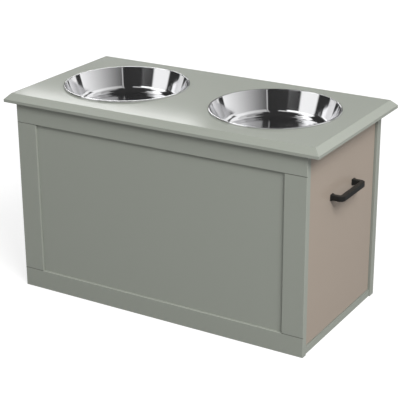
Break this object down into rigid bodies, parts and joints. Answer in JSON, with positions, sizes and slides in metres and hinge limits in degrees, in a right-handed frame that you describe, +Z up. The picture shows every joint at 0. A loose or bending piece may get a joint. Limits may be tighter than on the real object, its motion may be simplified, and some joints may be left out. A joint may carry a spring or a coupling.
{
  "type": "raised dog feeder",
  "caption": "Raised dog feeder: a painted box with two steel bowls let into its top and a storage drawer that pulls out of one end on ball-bearing runners.",
  "frame": {"origin": "centre of the part's outline, on the floor under the base board", "axes": "+X along the box towards the end that the drawer comes out of, -Y towards the panelled front, +Z up"},
  "size_m": [0.6, 0.304, 0.361],
  "materials": {
    "sage_paint": "satin sage green paint on board",
    "taupe_paint": "satin taupe paint on board",
    "drawer_board": "melamine-faced board",
    "drawer_floor_board": "thin hardboard, pale face",
    "polished_steel": "polished stainless steel with a faint circular brush",
    "black_metal": "satin black powder coat",
    "zinc_steel": "zinc-plated steel",
    "bearing_steel": "polished bearing steel",
    "beech": "plain beech"
  },
  "bodies": {
    "box": {"top_board": "sage_paint", "front_top_rail": "sage_paint", "front_bottom_rail": "sage_paint", "front_left_stile": "sage_paint", "front_right_stile": "sage_paint", "front_panel": "sage_paint", "back_panel": "sage_paint", "left_side_panel": "sage_paint", "base_board": "sage_paint", "front_runner_box_channel": "zinc_steel", "rear_runner_box_channel": "zinc_steel", "box_channel_screws": "zinc_steel", "box_dowels": "beech", "box_cam_bolts": "zinc_steel", "box_cam_locks": "zinc_steel"},
    "drawer": {"drawer_front": "taupe_paint", "drawer_front_side": "drawer_board", "drawer_rear_side": "drawer_board", "drawer_back": "drawer_board", "drawer_floor": "drawer_floor_board", "handle": "black_metal", "handle_screws": "zinc_steel", "front_runner_drawer_channel": "zinc_steel", "rear_runner_drawer_channel": "zinc_steel", "drawer_channel_screws": "zinc_steel", "drawer_dowels": "beech", "drawer_cam_bolts": "zinc_steel", "drawer_cam_locks": "zinc_steel"},
    "front_ball_cage": {"front_runner_ball_cage": "zinc_steel", "front_runner_balls": "bearing_steel"},
    "rear_ball_cage": {"rear_runner_ball_cage": "zinc_steel", "rear_runner_balls": "bearing_steel"},
    "left_bowl": {"bowl_left": "polished_steel"},
    "right_bowl": {"bowl_right": "polished_steel"}
  },
  "joints": [
    {"name": "drawer_slide", "type": "slide", "parent": "box", "child": "drawer", "axis": [1, 0, 0], "range_m": [0, 0.33]},
    {"name": "front_cage_slide", "type": "slide", "parent": "box", "child": "front_ball_cage", "axis": [1, 0, 0], "range_m": [0, 0.165]},
    {"name": "rear_cage_slide", "type": "slide", "parent": "box", "child": "rear_ball_cage", "axis": [1, 0, 0], "range_m": [0, 0.165]},
    {"name": "left_bowl_lift", "type": "slide", "parent": "box", "child": "left_bowl", "axis": [0, 0, 1], "range_m": [0, 0.06]},
    {"name": "right_bowl_lift", "type": "slide", "parent": "box", "child": "right_bowl", "axis": [0, 0, 1], "range_m": [0, 0.06]}
  ],
  "couplings": [
    {"joint": "front_cage_slide", "follows": "drawer_slide", "ratio": 0.5},
    {"joint": "rear_cage_slide", "follows": "drawer_slide", "ratio": 0.5}
  ]
}
